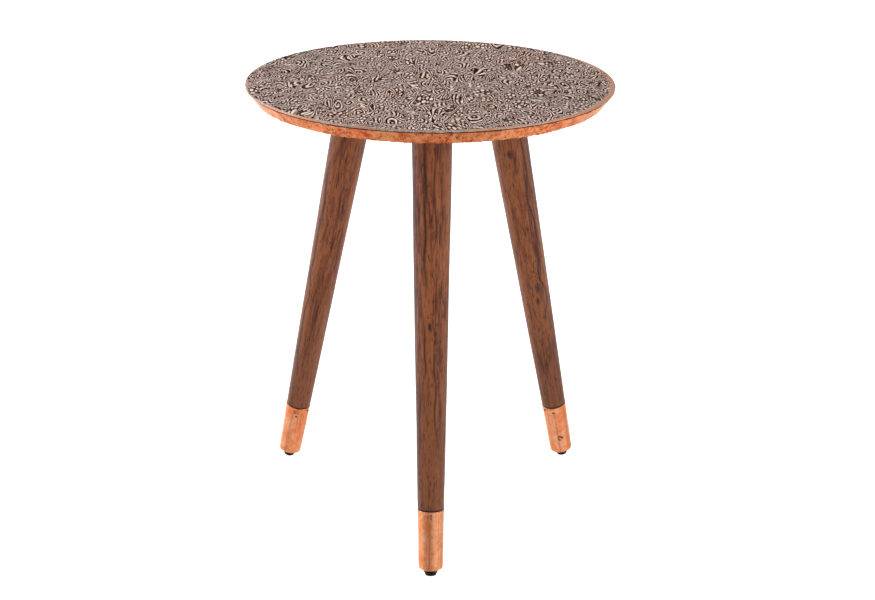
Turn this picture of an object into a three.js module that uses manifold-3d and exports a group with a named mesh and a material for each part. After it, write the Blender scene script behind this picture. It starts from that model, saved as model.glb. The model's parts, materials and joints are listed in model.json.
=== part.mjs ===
// A round side table: a copper-clad wooden top on three splayed, tapered wooden
// legs, each with a copper ferrule and a black glide at its foot.
//
// Millimetres, +Z up. The origin is on the floor, below the middle of the top.
// The front leg points along -Y. Each leg screws into a plate under the top.

import * as THREE from 'three';
import Module from 'manifold-3d';
import { mergeVertices } from 'three/addons/utils/BufferGeometryUtils.js';

const wasm = await Module();
wasm.setup();

// ---------------------------------------------------------------- dimensions

const GAP = 0.3;                 // clearance kept wherever two pieces touch
const CUT_PAST = 5;              // how far a drill runs out past a surface
const QUARTER_TURN = Math.PI / 2;
const degrees = THREE.MathUtils.degToRad;

// The top.
const TABLE_HEIGHT = 500;
const TOP_RADIUS = 200;
const RIM_HEIGHT = 16.5;         // from the sheet's upper face to the hem's lower face
const RIM_BOTTOM_RADIUS = 189;   // the rim leans in towards its lower edge
const COPPER = 0.6;              // thickness of the sheet, the band and the ferrules
const LIP_HEIGHT = 2.2;          // the sheet's edge, turned down over the band
const LIP_ROUNDING = 0.5;
const COLLAR_HEIGHT = 1.6;       // upright strip at the band's top, behind the lip
const HEM_WIDTH = 11;            // the band's edge, folded in under the core

// The legs.
const LEG_DIRECTIONS = { front: -90, right: 30, left: 150 };   // degrees about +Z
const SPLAY = degrees(12.3);
const FOOT_CIRCLE_RADIUS = 196.8;  // where the legs' axes meet the floor
const LEG_TOP_RADIUS = 21.6;
const LEG_FOOT_RADIUS = 13.2;    // at the upper edge of the ferrule's chamfer
const LEG_EDGE = 1.2;            // broken edge round the leg's upper face
const FERRULE_LENGTH = 68;
const FERRULE_CHAMFER = 3.2;
const FERRULE_TIP_RADIUS = 8.4;

// The glide that is nailed under each foot.
const GLIDE_HEIGHT = 5.5;
const GLIDE_TOP_RADIUS = 7.6;
const GLIDE_FLANGE = 1.2;
const GLIDE_TREAD_RADIUS = 6.3;
const GLIDE_ROUNDING = 1.5;

// The plate that each leg screws into.
const PLATE_SIDE = 64;
const PLATE_CORNER = 8;
const PLATE_THICKNESS = 2.5;
const BOSS_RADIUS = 13;
const PLATE_SCREW_OFFSET = 24;   // from the plate's middle, both ways

// Fasteners: a shank radius, a head and a length each.
const BOLT = { radius: 4, above: 15, below: 35, tip: 2.6 };
const WASHER = { radius: 12, thickness: 1.6 };
const SCREW = { shank: 2, head: 4, headHeight: 2.6, reach: 12 };
const TACK = { shank: 0.6, head: 2.4, headHeight: 0.8, reach: 8 };
const PIN = { shank: 0.5, head: 1.2, headHeight: 0.5, reach: 7 };
const NAIL = { shank: 1, head: 3.2, headHeight: 1, reach: 14 };
const HEAD_FACE = 0.6;           // a head's flat face and its upright side, as shares of
const HEAD_SIDE = 0.45;          // its radius and its height

const HEM_TACKS = 8;
const BAND_SEAM = -85;                       // where the band's two ends overlap
const BAND_PIN_SPACING = [-3.4, -1.6, 1.6, 3.4];   // degrees either side of the seam
const FERRULE_PIN_DROP = 4;                  // below the ferrule's upper edge
const BOLT_POCKET = { radius: 8, depth: 9.5 };

// Segments round a turned piece.
const FINE = 96;
const MEDIUM = 24;
const COARSE = 16;
const SMALL = 8;

// Sizes that follow from the ones above.
const SHEET_UNDERSIDE = TABLE_HEIGHT - COPPER;
const CORE_TOP = SHEET_UNDERSIDE - GAP;
const HEM_BOTTOM = TABLE_HEIGHT - RIM_HEIGHT;
const CORE_BOTTOM = HEM_BOTTOM + COPPER + GAP;
const COLLAR_RADIUS = TOP_RADIUS - COPPER - GAP;
const COLLAR_BOTTOM = CORE_TOP - COLLAR_HEIGHT;
const BAND_LEAN = Math.atan((COLLAR_RADIUS - RIM_BOTTOM_RADIUS) / (COLLAR_BOTTOM - HEM_BOTTOM));

const FOOT_HEIGHT = (GLIDE_TREAD_RADIUS - GLIDE_ROUNDING) * Math.sin(SPLAY)
  + GLIDE_ROUNDING * (1 - Math.cos(SPLAY));
const FOOT_RADIUS = FOOT_CIRCLE_RADIUS - FOOT_HEIGHT * Math.tan(SPLAY);
const SEAT_RADIUS = FOOT_CIRCLE_RADIUS - CORE_BOTTOM * Math.tan(SPLAY);

// Heights along a leg's own axis, from the middle of its glide's tread.
const CORE_ALONG = (CORE_BOTTOM - FOOT_HEIGHT) / Math.cos(SPLAY);
const LEG_TOP = CORE_ALONG - (2 * GAP + PLATE_THICKNESS) / Math.cos(SPLAY)
  - LEG_TOP_RADIUS * Math.tan(SPLAY);
const FERRULE_BOTTOM = GLIDE_HEIGHT + GAP;
const FERRULE_SHOULDER = FERRULE_BOTTOM + FERRULE_CHAMFER;
const FERRULE_TOP = FERRULE_BOTTOM + FERRULE_LENGTH;
const TENON_BOTTOM = FERRULE_BOTTOM + COPPER + GAP;

function legRadius(along) {
  const share = (along - FERRULE_SHOULDER) / (LEG_TOP - FERRULE_SHOULDER);
  return LEG_FOOT_RADIUS + (LEG_TOP_RADIUS - LEG_FOOT_RADIUS) * share;
}

// ----------------------------------------------------------------- materials

const looks = {
  sheet: () => new THREE.MeshStandardMaterial({ color: 0x8f7c74, roughness: 0.45, metalness: 1 }),
  copper: () => new THREE.MeshStandardMaterial({ color: 0xd68a5e, roughness: 0.35, metalness: 1 }),
  core: () => new THREE.MeshStandardMaterial({ color: 0xb08a5f, roughness: 0.8, metalness: 0 }),
  wood: () => new THREE.MeshStandardMaterial({ color: 0x7c4d36, roughness: 0.55, metalness: 0 }),
  steel: () => new THREE.MeshStandardMaterial({ color: 0xb4b6b8, roughness: 0.4, metalness: 1 }),
  glide: () => new THREE.MeshStandardMaterial({ color: 0x151515, roughness: 0.5, metalness: 0 }),
};

// ------------------------------------------------------------- shape helpers

// Only positions, with shared vertices merged and empty triangles dropped.
function closed(geometry) {
  geometry.deleteAttribute('normal');
  geometry.deleteAttribute('uv');
  const merged = mergeVertices(geometry, 1e-4);
  const index = Array.from(merged.index.array);
  const kept = [];
  for (let i = 0; i < index.length; i += 3) {
    const [a, b, c] = index.slice(i, i + 3);
    if (a !== b && b !== c && c !== a) {
      kept.push(a, b, c);
    }
  }
  merged.setIndex(kept);
  return merged;
}

// A solid turned about Z. The outline's [radius, z] points run anticlockwise:
// from the axis at the bottom round to the axis at the top, or back to the start.
function turned(outline, segments) {
  const points = outline.map(([radius, z]) => new THREE.Vector2(radius, z));
  return closed(new THREE.LatheGeometry(points, segments).rotateX(QUARTER_TURN));
}

function ring(outline, segments) {
  return turned([...outline, outline[0]], segments);
}

function rod(radius, bottom, top, segments) {
  return turned([[0, bottom], [radius, bottom], [radius, top], [0, top]], segments);
}

// Points of a quarter round of the given centre, from angle start to angle end.
function arc([centreRadius, centreZ], radius, start, end, steps) {
  return Array.from({ length: steps + 1 }, (_, step) => {
    const angle = start + (end - start) * step / steps;
    return [centreRadius + radius * Math.cos(angle), centreZ + radius * Math.sin(angle)];
  });
}

function toSolid(geometry) {
  return new wasm.Manifold(new wasm.Mesh({
    numProp: 3,
    vertProperties: Float32Array.from(geometry.attributes.position.array),
    triVerts: Uint32Array.from(geometry.index.array),
  }));
}

function fromSolid(solid) {
  const mesh = solid.getMesh();
  const geometry = new THREE.BufferGeometry();
  geometry.setAttribute('position', new THREE.BufferAttribute(mesh.vertProperties, 3));
  geometry.setIndex(new THREE.BufferAttribute(mesh.triVerts, 1));
  return geometry;
}

function without(geometry, cutters) {
  const left = cutters.reduce((solid, cutter) => solid.subtract(toSolid(cutter)), toSolid(geometry));
  return fromSolid(left);
}

// A headed fastener that points up, with the underside of its head at zero.
function fastener({ shank, head, headHeight, reach }, segments) {
  const point = 2 * shank;
  return turned([
    [0, -headHeight],
    [HEAD_FACE * head, -headHeight],
    [head, -HEAD_SIDE * headHeight],
    [head, 0],
    [shank, 0],
    [shank, reach - point],
    [0, reach],
  ], segments);
}

// A hole for a fastener, from below its head to just past its point.
function fastenerHole({ shank, reach }, segments) {
  return rod(shank + GAP, -CUT_PAST, reach + GAP, segments);
}

function piece(name, geometry, look) {
  const mesh = new THREE.Mesh(geometry, look());
  mesh.name = name;
  geometry.computeVertexNormals();
  return mesh;
}

// ------------------------------------------------------------ where things go

// From a leg's seat, where its axis meets the core's underside, to the table.
function atSeat(geometry, direction) {
  return geometry.translate(SEAT_RADIUS, 0, CORE_BOTTOM).rotateZ(degrees(direction));
}

function atEachSeat(makeGeometry) {
  return Object.values(LEG_DIRECTIONS).map((direction) => atSeat(makeGeometry(), direction));
}

// From a plate's own middle to one of its four corner screws.
function atPlateCorner(geometry, corner) {
  const x = corner < 2 ? PLATE_SCREW_OFFSET : -PLATE_SCREW_OFFSET;
  const y = corner % 2 ? PLATE_SCREW_OFFSET : -PLATE_SCREW_OFFSET;
  return geometry.translate(x, y, -PLATE_THICKNESS - 2 * GAP);
}

function atHem(geometry, tack) {
  const radius = RIM_BOTTOM_RADIUS - HEM_WIDTH / 2;
  const direction = 360 * (tack + 0.5) / HEM_TACKS;
  return geometry.translate(radius, 0, HEM_BOTTOM - GAP).rotateZ(degrees(direction));
}

function atBandSeam(geometry, pin) {
  const radius = (COLLAR_RADIUS + RIM_BOTTOM_RADIUS) / 2;
  const height = (COLLAR_BOTTOM + HEM_BOTTOM) / 2;
  geometry.translate(0, 0, -GAP).rotateY(BAND_LEAN - QUARTER_TURN).translate(radius, 0, height);
  return geometry.rotateZ(degrees(BAND_SEAM + BAND_PIN_SPACING[pin]));
}

// On a leg: pin 0 faces outwards and pin 1 faces the table's middle.
function atFerruleEdge(geometry, pin) {
  const along = FERRULE_TOP - FERRULE_PIN_DROP;
  geometry.rotateY(-QUARTER_TURN).translate(legRadius(along) + GAP, 0, along);
  return geometry.rotateZ(pin * Math.PI);
}

function forEach(count, make) {
  return Array.from({ length: count }, (_, number) => make(number));
}

// ------------------------------------------------------------------- the top

function sheetGeometry() {
  return turned([
    [0, SHEET_UNDERSIDE],
    [TOP_RADIUS - COPPER, SHEET_UNDERSIDE],
    [TOP_RADIUS - COPPER, TABLE_HEIGHT - LIP_HEIGHT],
    [TOP_RADIUS, TABLE_HEIGHT - LIP_HEIGHT],
    ...arc([TOP_RADIUS - LIP_ROUNDING, TABLE_HEIGHT - LIP_ROUNDING], LIP_ROUNDING, 0, QUARTER_TURN, 2),
    [0, TABLE_HEIGHT],
  ], FINE);
}

// An upright collar behind the sheet's lip, a face that leans in, and a flat hem.
function bandGeometry() {
  const across = COPPER / Math.cos(BAND_LEAN);
  const slope = Math.tan(BAND_LEAN);
  const band = ring([
    [RIM_BOTTOM_RADIUS - HEM_WIDTH, HEM_BOTTOM],
    [RIM_BOTTOM_RADIUS, HEM_BOTTOM],
    [COLLAR_RADIUS, COLLAR_BOTTOM],
    [COLLAR_RADIUS, CORE_TOP],
    [COLLAR_RADIUS - COPPER, CORE_TOP],
    [COLLAR_RADIUS - COPPER, COLLAR_BOTTOM + (across - COPPER) / slope],
    [RIM_BOTTOM_RADIUS - across + COPPER * slope, HEM_BOTTOM + COPPER],
    [RIM_BOTTOM_RADIUS - HEM_WIDTH, HEM_BOTTOM + COPPER],
  ], FINE);
  return without(band, [
    ...forEach(HEM_TACKS, (tack) => atHem(fastenerHole(TACK, SMALL), tack)),
    ...forEach(BAND_PIN_SPACING.length, (pin) => atBandSeam(fastenerHole(PIN, SMALL), pin)),
  ]);
}

// The board inside the copper, drilled for the plates' screws and the legs' bolts.
function coreGeometry() {
  const clear = COPPER + GAP;
  const across = clear / Math.cos(BAND_LEAN);
  const slope = Math.tan(BAND_LEAN);
  const board = turned([
    [0, CORE_BOTTOM],
    [RIM_BOTTOM_RADIUS - across + clear * slope, CORE_BOTTOM],
    [COLLAR_RADIUS - clear, COLLAR_BOTTOM + (across - clear) / slope],
    [COLLAR_RADIUS - clear, CORE_TOP],
    [0, CORE_TOP],
  ], FINE);
  return without(board, [
    ...atEachSeat(() => rod(BOLT_POCKET.radius, -CUT_PAST, BOLT_POCKET.depth, COARSE)),
    ...forEach(4, (corner) => atEachSeat(() => atPlateCorner(fastenerHole(SCREW, SMALL), corner))).flat(),
    ...forEach(HEM_TACKS, (tack) => atHem(fastenerHole(TACK, SMALL), tack)),
    ...forEach(BAND_PIN_SPACING.length, (pin) => atBandSeam(fastenerHole(PIN, SMALL), pin)),
  ]);
}

function top() {
  const group = new THREE.Group();
  group.add(piece('top_sheet', sheetGeometry(), looks.sheet));
  group.add(piece('edge_band', bandGeometry(), looks.copper));
  group.add(piece('top_core', coreGeometry(), looks.core));
  forEach(HEM_TACKS, (tack) => {
    group.add(piece(`hem_tack_${tack + 1}`, atHem(fastener(TACK, SMALL), tack), looks.copper));
  });
  forEach(BAND_PIN_SPACING.length, (pin) => {
    group.add(piece(`band_pin_${pin + 1}`, atBandSeam(fastener(PIN, SMALL), pin), looks.copper));
  });
  return group;
}

// --------------------------------------------------------- a leg's plate

function roundedSquare(side, corner) {
  const reach = side / 2 - corner;
  const shape = new THREE.Shape();
  [[reach, reach], [-reach, reach], [-reach, -reach], [reach, -reach]].forEach(([x, y], turn) => {
    shape.absarc(x, y, corner, turn * QUARTER_TURN, (turn + 1) * QUARTER_TURN, false);
  });
  return shape;
}

// A flat plate with a boss whose face is square to the leg, and a bore for the bolt.
// The origin is the seat.
function plateGeometry() {
  const bossFace = CORE_ALONG - LEG_TOP - WASHER.thickness - 2 * GAP;
  const plate = closed(new THREE.ExtrudeGeometry(roundedSquare(PLATE_SIDE, PLATE_CORNER), {
    depth: PLATE_THICKNESS,
    bevelEnabled: false,
    curveSegments: 4,
  }).translate(0, 0, -PLATE_THICKNESS - GAP));
  const depth = 40;
  const belowPlate = closed(new THREE.BoxGeometry(PLATE_SIDE, PLATE_SIDE, depth)
    .translate(0, 0, -(depth + PLATE_THICKNESS) / 2 - GAP));
  const boss = toSolid(rod(BOSS_RADIUS, -bossFace, depth, MEDIUM).rotateY(-SPLAY));
  const blank = fromSolid(toSolid(plate).add(boss.intersect(toSolid(belowPlate))));
  return without(blank, [
    rod(BOLT.radius + GAP, -depth, depth, COARSE).rotateY(-SPLAY),
    ...forEach(4, (corner) => atPlateCorner(fastenerHole(SCREW, SMALL), corner)),
  ]);
}

function seat(side, direction) {
  const group = new THREE.Group();
  group.position.set(SEAT_RADIUS, 0, CORE_BOTTOM);
  group.add(piece(`leg_plate_${side}`, plateGeometry(), looks.steel));
  forEach(4, (corner) => {
    const screw = atPlateCorner(fastener(SCREW, SMALL), corner);
    group.add(piece(`plate_screw_${side}_${corner + 1}`, screw, looks.steel));
  });
  return turnedTo(direction, group);
}

// ---------------------------------------------------------------------- a leg

// The wood: a taper, a thinner tenon for the ferrule, and a drilled hole at each end.
function legGeometry() {
  const tenonTop = FERRULE_TOP + GAP;
  const shoulder = FERRULE_SHOULDER + (COPPER + GAP) * Math.tan(Math.PI / 8);
  const tenonRadius = (along) => legRadius(along) - COPPER - GAP;
  const wood = turned([
    [0, NAIL.reach + GLIDE_HEIGHT],
    [NAIL.shank + GAP, NAIL.reach + GLIDE_HEIGHT],
    [NAIL.shank + GAP, TENON_BOTTOM],
    [FERRULE_TIP_RADIUS - (COPPER + GAP) * Math.tan(Math.PI / 8), TENON_BOTTOM],
    [tenonRadius(shoulder), shoulder],
    [tenonRadius(tenonTop), tenonTop],
    [legRadius(tenonTop), tenonTop],
    [legRadius(LEG_TOP - LEG_EDGE), LEG_TOP - LEG_EDGE],
    [LEG_TOP_RADIUS - LEG_EDGE, LEG_TOP],
    [BOLT.radius + GAP, LEG_TOP],
    [BOLT.radius + GAP, LEG_TOP - BOLT.below - GAP],
    [0, LEG_TOP - BOLT.below - GAP],
  ], MEDIUM);
  return without(wood, forEach(2, (pin) => atFerruleEdge(fastenerHole(PIN, SMALL), pin)));
}

// A cup with a chamfered foot, open at the top, with a hole for the glide's nail.
function ferruleGeometry() {
  const mitre = COPPER * Math.tan(Math.PI / 8);
  const cup = ring([
    [NAIL.shank + GAP, FERRULE_BOTTOM],
    [FERRULE_TIP_RADIUS, FERRULE_BOTTOM],
    [LEG_FOOT_RADIUS, FERRULE_SHOULDER],
    [legRadius(FERRULE_TOP), FERRULE_TOP],
    [legRadius(FERRULE_TOP) - COPPER, FERRULE_TOP],
    [LEG_FOOT_RADIUS - COPPER, FERRULE_SHOULDER + mitre],
    [FERRULE_TIP_RADIUS - mitre, FERRULE_BOTTOM + COPPER],
    [NAIL.shank + GAP, FERRULE_BOTTOM + COPPER],
  ], MEDIUM);
  return without(cup, forEach(2, (pin) => atFerruleEdge(fastenerHole(PIN, SMALL), pin)));
}

// A disc with a rounded tread and a recess in its upper face for the nail's head.
function glideGeometry() {
  const recess = GLIDE_HEIGHT - NAIL.headHeight - 2 * GAP;
  const roundingCentre = [GLIDE_TREAD_RADIUS - GLIDE_ROUNDING, GLIDE_ROUNDING];
  return turned([
    [0, 0],
    ...arc(roundingCentre, GLIDE_ROUNDING, -QUARTER_TURN, 0, 3),
    [GLIDE_TOP_RADIUS, GLIDE_HEIGHT - GLIDE_FLANGE],
    [GLIDE_TOP_RADIUS, GLIDE_HEIGHT],
    [NAIL.head + GAP, GLIDE_HEIGHT],
    [NAIL.head + GAP, recess],
    [0, recess],
  ], MEDIUM);
}

// The nail's head lies in the glide and its shank goes up into the wood.
function nailGeometry() {
  return fastener(NAIL, COARSE).translate(0, 0, GLIDE_HEIGHT - GAP);
}

// Machine thread above the leg's upper face, wood thread and a point below it.
function boltGeometry() {
  const shoulder = LEG_TOP + BOLT.above;
  return turned([
    [0, LEG_TOP - BOLT.below],
    [BOLT.radius, LEG_TOP - BOLT.below + 2 * BOLT.tip],
    [BOLT.radius, shoulder - (BOLT.radius - BOLT.tip)],
    [BOLT.tip, shoulder],
    [0, shoulder],
  ], COARSE);
}

function washerGeometry() {
  const bottom = LEG_TOP + GAP;
  return ring([
    [BOLT.radius + GAP, bottom],
    [WASHER.radius, bottom],
    [WASHER.radius, bottom + WASHER.thickness],
    [BOLT.radius + GAP, bottom + WASHER.thickness],
  ], MEDIUM);
}

// A leg's own group stands on the floor and leans in towards the table's middle.
function leg(side, direction) {
  const group = new THREE.Group();
  group.position.set(FOOT_RADIUS, 0, FOOT_HEIGHT);
  group.rotation.y = -SPLAY;
  group.add(piece(`leg_${side}`, legGeometry(), looks.wood));
  group.add(piece(`ferrule_${side}`, ferruleGeometry(), looks.copper));
  forEach(2, (pin) => {
    const name = `ferrule_pin_${side}_${pin + 1}`;
    group.add(piece(name, atFerruleEdge(fastener(PIN, SMALL), pin), looks.copper));
  });
  group.add(piece(`glide_${side}`, glideGeometry(), looks.glide));
  group.add(piece(`glide_nail_${side}`, nailGeometry(), looks.steel));
  group.add(piece(`hanger_bolt_${side}`, boltGeometry(), looks.steel));
  group.add(piece(`washer_${side}`, washerGeometry(), looks.steel));
  return turnedTo(direction, group);
}

// ------------------------------------------------------------------ the table

function turnedTo(direction, child) {
  const group = new THREE.Group();
  group.rotation.z = degrees(direction);
  group.add(child);
  return group;
}

const table = new THREE.Group();
table.add(top());
for (const [side, direction] of Object.entries(LEG_DIRECTIONS)) {
  table.add(seat(side, direction));
  table.add(leg(side, direction));
}
table.updateMatrixWorld(true);

export default table;
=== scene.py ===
"""Looks for a round side table: an embossed, copper-clad top on three turned wooden legs.

Everything is in metres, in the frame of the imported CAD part. Pieces of a leg are made in
the leg's own frame, which stands on the middle of its glide with Z up along the leg.
"""
import json
import math

import bpy
import numpy as np
from mathutils import Matrix, Vector


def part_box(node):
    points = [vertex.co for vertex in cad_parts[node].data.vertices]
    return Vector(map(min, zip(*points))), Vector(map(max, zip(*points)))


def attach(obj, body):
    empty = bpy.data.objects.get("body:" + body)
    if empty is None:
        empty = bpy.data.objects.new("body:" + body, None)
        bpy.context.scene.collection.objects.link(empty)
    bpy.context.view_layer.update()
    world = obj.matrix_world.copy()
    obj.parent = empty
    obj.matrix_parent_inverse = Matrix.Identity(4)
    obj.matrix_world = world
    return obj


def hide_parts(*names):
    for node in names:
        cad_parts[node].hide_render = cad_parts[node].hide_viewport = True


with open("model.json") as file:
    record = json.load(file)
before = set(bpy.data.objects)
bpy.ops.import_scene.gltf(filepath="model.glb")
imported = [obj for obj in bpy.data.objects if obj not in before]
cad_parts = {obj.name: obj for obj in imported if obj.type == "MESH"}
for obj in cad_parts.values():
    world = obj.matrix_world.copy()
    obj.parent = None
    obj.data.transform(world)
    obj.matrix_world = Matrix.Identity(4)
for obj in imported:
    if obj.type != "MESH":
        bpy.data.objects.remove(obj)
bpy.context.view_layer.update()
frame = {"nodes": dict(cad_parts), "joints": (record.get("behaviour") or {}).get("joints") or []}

MM = 0.001
TURN = 2 * math.pi
SIDES = ("front", "right", "left")

# ---- dimensions

SHEET_LOW, SHEET_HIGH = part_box("top_sheet")
BAND_LOW, BAND_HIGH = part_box("edge_band")
CORE_LOW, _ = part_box("top_core")
TOP_RADIUS = SHEET_HIGH.x
TOP_HEIGHT = SHEET_HIGH.z
COPPER = 0.6 * MM
LIP_BOTTOM = SHEET_LOW.z
LIP_ROUNDING = 0.7 * MM

# The embossed pattern.
SHEET_PITCH = 0.7 * MM          # spacing of the sheet's vertices
PLAIN_MARGIN = 1.2 * MM         # outside the pattern, and how much more there is at +X
WIDER_MARGIN = 3.5 * MM
MARGIN_SWAY = 1.0 * MM
MARGIN_EDGE = 1.2 * MM
RUBBED_WIDTH = 13 * MM          # of the brighter border at +X
PATTERN_STRETCH = 2.0           # motifs are longer along Y than along X
PATTERN_WARP = 2.2 * MM
WARP_LENGTH = 40 * MM
GROOVE_DEPTH = 0.42 * MM
RIDGE_HEIGHT = 0.2 * MM
MOTIF_SIZE = 15 * MM            # across X
MOTIF_SHAKE = 0.42              # of its size, either way
PEBBLE_SIZE = 4.0 * MM
STROKE_PITCH = 3.6 * MM

# The edge band, from its collar to its hem.
COLLAR_RADIUS = BAND_HIGH.x
COLLAR_BOTTOM = BAND_HIGH.z - 1.6 * MM
HEM_BOTTOM = BAND_LOW.z
RIM_BOTTOM_RADIUS = 189 * MM
HEM_INNER_RADIUS = 178 * MM
HEM_FOLD = 0.9 * MM
BAND_LEAN = math.atan((COLLAR_RADIUS - RIM_BOTTOM_RADIUS) / (COLLAR_BOTTOM - HEM_BOTTOM))
SEAM_DIRECTION = -85            # degrees about Z; the front leg is at -90
SEAM_PIN_SPACING = (-3.4, -1.6, 1.6, 3.4)     # degrees either side of the seam
SEAM_SLANT = (-1.8, 1.9)        # degrees from the seam at the hem, and gained on the way up
HEM_TACKS = 8
DENTS = 90
HEM_NICKS = ((-96.1, 1.1), (-104.0, 0.7), (-62.0, 0.8), (-71.5, 0.6), (-118.0, 0.9), (20.0, 0.8),
             (77.0, 1.0), (134.0, 0.8), (188.0, 1.0))     # direction in degrees, depth in mm

# A leg, along its own axis from the glide's tread.
GAP = 0.3 * MM
SPLAY = math.radians(12.3)
LEG_TOP_RADIUS = 21.6 * MM
LEG_FOOT_RADIUS = 13.2 * MM
LEG_EDGE = 1.2 * MM
GLIDE_HEIGHT = 5.5 * MM
GLIDE_TOP_RADIUS = 7.9 * MM
GLIDE_TREAD_RADIUS = 6.3 * MM
GLIDE_ROUNDING = 1.5 * MM
GLIDE_FLANGE = 1.2 * MM
FERRULE_BOTTOM = GLIDE_HEIGHT + GAP
FERRULE_SHOULDER = FERRULE_BOTTOM + 3.2 * MM
FERRULE_TOP = FERRULE_BOTTOM + 68 * MM
FERRULE_TIP_RADIUS = 8.4 * MM
FERRULE_HOLE = 1.3 * MM         # for the glide's nail
FERRULE_DENTS = 16
FERRULE_CREASES = 5
PIN_HEIGHT = FERRULE_TOP - 4 * MM

# The wood's figure and the ferrules' stains: a leg, places in mm, a direction, mm across.
KNOTS = (("right", 418, -128, 6), ("right", 243, -108, 8), ("right", 226, -116, 5),
         ("left", 150, 60, 4), ("front", 276, -8, 4.5), ("front", 268, 12, 3),
         ("front", 330, 170, 4))
VEINS = (("front", 300, 486, -22, 1.6), ("front", 200, 300, -30, 1.2), ("front", 120, 250, 15, 1.0),
         ("front", 330, 470, 8, 0.9), ("right", 180, 470, -85, 1.2), ("left", 100, 420, 70, 1.3),
         ("left", 250, 480, 40, 1.0))       # from and to, along the leg
STAINS = (("left", 5, 115, 4.5), ("left", 11, 122, 2.5), ("right", 6, -128, 3.0),
          ("right", 44, -118, 5.0), ("front", 7, -2, 2.2))     # below the ferrule's top
GRAIN_TURN = {"front": -62, "right": 215, "left": -20}
BILLET_SPACING = 0.9            # between the legs, in the wood they are cut from

# Where each leg is fastened.
PLATE_SIDE = 64 * MM
PLATE_CORNER = 8 * MM
PLATE_THICKNESS = 2.5 * MM
PLATE_BEVEL = 0.5 * MM
BOSS_RADIUS = 13 * MM
PLATE_SCREW_OFFSET = 24 * MM
WASHER_RADIUS = 12 * MM
WASHER_THICKNESS = 1.6 * MM
BOLT_RADIUS = 4 * MM
BOLT_TIP_RADIUS = 2.6 * MM
BOLT_ABOVE = 15 * MM
BOLT_BELOW = 35 * MM
FOOT_HEIGHT = ((GLIDE_TREAD_RADIUS - GLIDE_ROUNDING) * math.sin(SPLAY)
               + GLIDE_ROUNDING * (1 - math.cos(SPLAY)))
CORE_ALONG = (CORE_LOW.z - FOOT_HEIGHT) / math.cos(SPLAY)
LEG_TOP = (CORE_ALONG - (2 * GAP + PLATE_THICKNESS) / math.cos(SPLAY)
           - LEG_TOP_RADIUS * math.tan(SPLAY))

# Fasteners with a head: its radius and height, the shank's radius, and its length.
TACK = (2.4 * MM, 0.8 * MM, 0.6 * MM, 8 * MM)
PIN = (1.2 * MM, 0.5 * MM, 0.5 * MM, 7 * MM)
NAIL = (3.2 * MM, 1 * MM, 1 * MM, 14 * MM)
SCREW = (4 * MM, 2.6 * MM, 2 * MM, 12 * MM)

# Threads: depth and pitch.
SCREW_THREAD = (0.6 * MM, 1.6 * MM)
WOOD_THREAD = (1.0 * MM, 2.6 * MM)
MACHINE_THREAD = (0.72 * MM, 1.25 * MM)

# Vertices round a turned piece.
AROUND = {"band": 1260, "leg": 112, "ferrule": 132, "glide": 72, "plate": 160,
          "washer": 96, "bolt": 48, "screw": 64, "nail": 28}


# ---- mesh helpers

def smooth_noise(points, wavelength, seed, waves=24):
    """Noise between about -1 and 1: a sum of waves in random directions."""
    rng = np.random.default_rng(seed)
    directions = rng.normal(size=(waves, points.shape[-1]))
    directions /= np.linalg.norm(directions, axis=1, keepdims=True)
    lengths = wavelength * rng.uniform(0.6, 1.6, waves)
    phases = rng.uniform(0, TURN, waves)
    total = np.zeros(points.shape[:-1])
    for direction, length, phase in zip(directions, lengths, phases):
        total += np.sin(points @ direction * (TURN / length) + phase)
    return total * math.sqrt(2 / waves)


def wrapped(angle):
    """An angle, or an array of them, brought to within half a turn of zero."""
    return np.remainder(angle + TURN / 2, TURN) - TURN / 2


def ease(value, start, end):
    """0 up to start, 1 from end, and a smooth step between them."""
    t = np.clip((value - start) / (end - start), 0, 1)
    return t * t * (3 - 2 * t)


def bell(offset, width):
    """1 where the offset is 0, and next to nothing beyond twice the width."""
    return np.exp(-(offset / width) ** 2)


def polar(radius, angle, height=0.0):
    """Points from their distance to the Z axis, their direction and their height."""
    level = height + np.zeros_like(angle)
    return np.stack([radius * np.cos(angle), radius * np.sin(angle), level], axis=-1)


def place(points, matrix):
    """Points moved by a 4x4 matrix."""
    matrix = np.array(matrix)
    return points @ matrix[:3, :3].T + matrix[:3, 3]


def turn_z(degrees):
    return Matrix.Rotation(math.radians(degrees), 4, "Z")


def turn_y(angle):
    return Matrix.Rotation(angle, 4, "Y")


def move(x, y, z):
    return Matrix.Translation((x, y, z))


def add_object(name, data):
    added = bpy.data.objects.new(name, data)
    bpy.context.scene.collection.objects.link(added)
    return added


def make_mesh(name, vertices, faces, material, values=None, sharp=None):
    """A mesh object at the origin, with values stored on its vertices. It is shaded smooth,
    apart from edges that turn by more than sharp degrees."""
    mesh = bpy.data.meshes.new(name)
    mesh.from_pydata(vertices, [], faces)
    mesh.polygons.foreach_set("use_smooth", [True] * len(mesh.polygons))
    for key, data in (values or {}).items():
        data = np.asarray(data, np.float32)
        kind, field = ("FLOAT_VECTOR", "vector") if data.ndim == 2 else ("FLOAT", "value")
        mesh.attributes.new(key, kind, "POINT").data.foreach_set(field, data.ravel())
    mesh.materials.append(material)
    mesh.update()
    if sharp:
        mesh.set_sharp_from_angle(angle=math.radians(sharp))
    return add_object(name, mesh)


def between(ring, next_ring):
    """Quads between two closed rings of vertices."""
    corners = [ring, np.roll(ring, -1), np.roll(next_ring, -1), next_ring]
    return np.stack(corners, axis=-1).tolist()


def tube_faces(rows, around, closed):
    """Quads between each ring of vertices and the next, and back to the first if closed."""
    rings = np.arange(rows * around).reshape(rows, around)
    faces = []
    for ring, next_ring in zip(rings, rings[1:]):
        faces += between(ring, next_ring)
    return faces + between(rings[-1], rings[0]) if closed else faces


def fan(centre, ring):
    return [[centre, a, b] for a, b in zip(ring.tolist(), np.roll(ring, -1).tolist())]


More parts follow.
